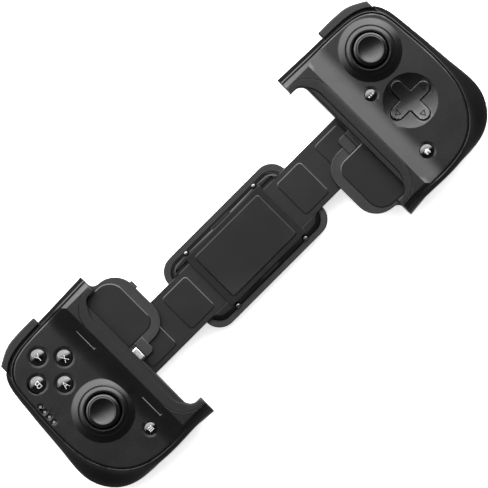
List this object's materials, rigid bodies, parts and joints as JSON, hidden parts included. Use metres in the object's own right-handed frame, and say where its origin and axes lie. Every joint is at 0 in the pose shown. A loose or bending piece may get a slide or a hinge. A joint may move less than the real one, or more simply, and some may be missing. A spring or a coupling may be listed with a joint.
{
  "type": "mobile game controller",
  "caption": "Telescopic phone game controller: rounded grips with thumbsticks, buttons, triggers and a direction pad, on flat straps that slide in a middle bridge.",
  "frame": {"origin": "on the bridge's centre line, at the height of the flats on the backs of the grips", "axes": "+X along the phone towards the grip with the direction pad, +Y towards the triggers, +Z out of the face"},
  "size_m": [0.2688, 0.094, 0.0364],
  "materials": {
    "charcoal_shell": "fine matte texture",
    "charcoal_face": "fine matte texture",
    "charcoal_inner": "smooth matte",
    "strap_plastic": "smooth matte",
    "rim_rubber": "grainy rubber",
    "soft_pad": "soft matte",
    "stick_rubber": "fine grain",
    "stick_plastic": "satin",
    "button_gloss": "polished",
    "trigger_gloss": "satin gloss",
    "inner_plastic": "moulded",
    "board": "solder mask",
    "silicone": "soft",
    "dark_screw": "blackened",
    "pin_steel": "bright",
    "plug_metal": "bright nickel",
    "light_pipe": "clear frosted"
  },
  "bodies": {
    "bridge": {"bridge_tray": "charcoal_shell", "bridge_cover": "strap_plastic", "bridge_panel": "soft_pad", "bridge_screws": "dark_screw"},
    "left_grip": {"left_rear_shell": "charcoal_shell", "left_front_shell": "charcoal_face", "left_rim": "rim_rubber", "left_cradle": "charcoal_inner", "left_ear_pad": "soft_pad", "left_slot_liner": "soft_pad", "left_strap": "strap_plastic", "left_strap_pads": "soft_pad", "left_circuit_board": "board", "left_button_mat": "silicone", "left_rear_screws": "dark_screw", "left_stick_base": "inner_plastic", "left_bumper_pin": "pin_steel", "left_trigger_pin": "pin_steel", "phone_plug": "plug_metal", "plug_holder": "inner_plastic", "charge_port": "plug_metal", "light_pipes": "light_pipe"},
    "right_grip": {"right_rear_shell": "charcoal_shell", "right_front_shell": "charcoal_face", "right_rim": "rim_rubber", "right_cradle": "charcoal_inner", "right_ear_pad": "soft_pad", "right_slot_liner": "soft_pad", "right_strap": "strap_plastic", "right_strap_pads": "soft_pad", "right_circuit_board": "board", "right_button_mat": "silicone", "right_rear_screws": "dark_screw", "right_stick_base": "inner_plastic", "right_bumper_pin": "pin_steel", "right_trigger_pin": "pin_steel"},
    "left_stick_carrier": {"left_stick_carrier": "inner_plastic"},
    "left_stick_yoke": {"left_stick_yoke": "inner_plastic"},
    "left_stick": {"left_stick_stem": "stick_plastic", "left_stick_cap": "stick_rubber"},
    "left_bumper": {"left_bumper": "trigger_gloss"},
    "left_trigger": {"left_trigger": "trigger_gloss"},
    "right_stick_carrier": {"right_stick_carrier": "inner_plastic"},
    "right_stick_yoke": {"right_stick_yoke": "inner_plastic"},
    "right_stick": {"right_stick_stem": "stick_plastic", "right_stick_cap": "stick_rubber"},
    "right_bumper": {"right_bumper": "trigger_gloss"},
    "right_trigger": {"right_trigger": "trigger_gloss"},
    "face_button_1": {"face_button_1": "button_gloss"},
    "face_button_2": {"face_button_2": "button_gloss"},
    "face_button_3": {"face_button_3": "button_gloss"},
    "face_button_4": {"face_button_4": "button_gloss"},
    "menu_button": {"menu_button": "button_gloss"},
    "view_button": {"view_button": "button_gloss"},
    "home_button": {"home_button": "button_gloss"},
    "direction_pad_ring": {"direction_pad_ring": "inner_plastic"},
    "direction_pad": {"direction_pad": "button_gloss"},
    "latch_slider": {"latch_slider": "charcoal_inner"}
  },
  "joints": [
    {"name": "left_grip_slide", "type": "slide", "parent": "bridge", "child": "left_grip", "axis": [-1, 0, 0], "range_m": [-0.012, 0.0035]},
    {"name": "right_grip_slide", "type": "slide", "parent": "bridge", "child": "right_grip", "axis": [1, 0, 0], "range_m": [-0.012, 0.0035]},
    {"name": "left_stick_click", "type": "slide", "parent": "left_grip", "child": "left_stick_carrier", "axis": [0, 0, -1], "range_m": [0, 0.0005], "stiffness_N_per_m": 3000, "springref_m": -0.0005},
    {"name": "left_stick_sway", "type": "hinge", "parent": "left_stick_carrier", "child": "left_stick_yoke", "pos_m": [-0.1047, -0.0078, 0.019], "axis": [1, 0, 0], "range_deg": [-16, 16], "stiffness_Nm_per_rad": 0.06},
    {"name": "left_stick_lean", "type": "hinge", "parent": "left_stick_yoke", "child": "left_stick", "pos_m": [-0.1047, -0.0078, 0.019], "axis": [0, 1, 0], "range_deg": [-16, 16], "stiffness_Nm_per_rad": 0.06},
    {"name": "left_bumper_press", "type": "hinge", "parent": "left_grip", "child": "left_bumper", "pos_m": [-0.0996, 0.0453, 0.0205], "axis": [0, 0, 1], "range_deg": [0, 2.2], "stiffness_Nm_per_rad": 0.4, "springref_deg": -1.72},
    {"name": "left_trigger_pull", "type": "hinge", "parent": "left_grip", "child": "left_trigger", "pos_m": [-0.1095, 0.041, 0.0124], "axis": [-1, 0, 0], "range_deg": [0, 16], "stiffness_Nm_per_rad": 0.06, "springref_deg": -6.88},
    {"name": "right_stick_click", "type": "slide", "parent": "right_grip", "child": "right_stick_carrier", "axis": [0, 0, -1], "range_m": [0, 0.0005], "stiffness_N_per_m": 3000, "springref_m": -0.0005},
    {"name": "right_stick_sway", "type": "hinge", "parent": "right_stick_carrier", "child": "right_stick_yoke", "pos_m": [0.1091, 0.0242, 0.019], "axis": [1, 0, 0], "range_deg": [-16, 16], "stiffness_Nm_per_rad": 0.06},
    {"name": "right_stick_lean", "type": "hinge", "parent": "right_stick_yoke", "child": "right_stick", "pos_m": [0.1091, 0.0242, 0.019], "axis": [0, 1, 0], "range_deg": [-16, 16], "stiffness_Nm_per_rad": 0.06},
    {"name": "right_bumper_press", "type": "hinge", "parent": "right_grip", "child": "right_bumper", "pos_m": [0.0996, 0.0453, 0.0205], "axis": [0, 0, -1], "range_deg": [0, 2.2], "stiffness_Nm_per_rad": 0.4, "springref_deg": -1.72},
    {"name": "right_trigger_pull", "type": "hinge", "parent": "right_grip", "child": "right_trigger", "pos_m": [0.1095, 0.041, 0.0124], "axis": [-1, 0, 0], "range_deg": [0, 16], "stiffness_Nm_per_rad": 0.06, "springref_deg": -6.88},
    {"name": "face_button_1_press", "type": "slide", "parent": "left_grip", "child": "face_button_1", "axis": [0, 0, -1], "range_m": [0, 0.001], "stiffness_N_per_m": 700, "springref_m": -0.0005},
    {"name": "face_button_2_press", "type": "slide", "parent": "left_grip", "child": "face_button_2", "axis": [0, 0, -1], "range_m": [0, 0.001], "stiffness_N_per_m": 700, "springref_m": -0.0005},
    {"name": "face_button_3_press", "type": "slide", "parent": "left_grip", "child": "face_button_3", "axis": [0, 0, -1], "range_m": [0, 0.001], "stiffness_N_per_m": 700, "springref_m": -0.0005},
    {"name": "face_button_4_press", "type": "slide", "parent": "left_grip", "child": "face_button_4", "axis": [0, 0, -1], "range_m": [0, 0.001], "stiffness_N_per_m": 700, "springref_m": -0.0005},
    {"name": "menu_button_press", "type": "slide", "parent": "left_grip", "child": "menu_button", "axis": [0, 0, -1], "range_m": [0, 0.0005], "stiffness_N_per_m": 1200, "springref_m": -0.0005},
    {"name": "view_button_press", "type": "slide", "parent": "right_grip", "child": "view_button", "axis": [0, 0, -1], "range_m": [0, 0.0005], "stiffness_N_per_m": 1200, "springref_m": -0.0005},
    {"name": "home_button_press", "type": "slide", "parent": "right_grip", "child": "home_button", "axis": [0, 0, -1], "range_m": [0, 0.0005], "stiffness_N_per_m": 1200, "springref_m": -0.0005},
    {"name": "direction_pad_sway", "type": "hinge", "parent": "right_grip", "child": "direction_pad_ring", "pos_m": [0.1057, -0.0066, 0.021], "axis": [1, 0, 0], "range_deg": [-3.5, 3.5], "stiffness_Nm_per_rad": 0.3},
    {"name": "direction_pad_lean", "type": "hinge", "parent": "direction_pad_ring", "child": "direction_pad", "pos_m": [0.1057, -0.0066, 0.021], "axis": [0, 1, 0], "range_deg": [-3.5, 3.5], "stiffness_Nm_per_rad": 0.3},
    {"name": "latch_slide", "type": "slide", "parent": "left_grip", "child": "latch_slider", "axis": [0, -1, 0], "range_m": [0, 0.0035]}
  ]
}
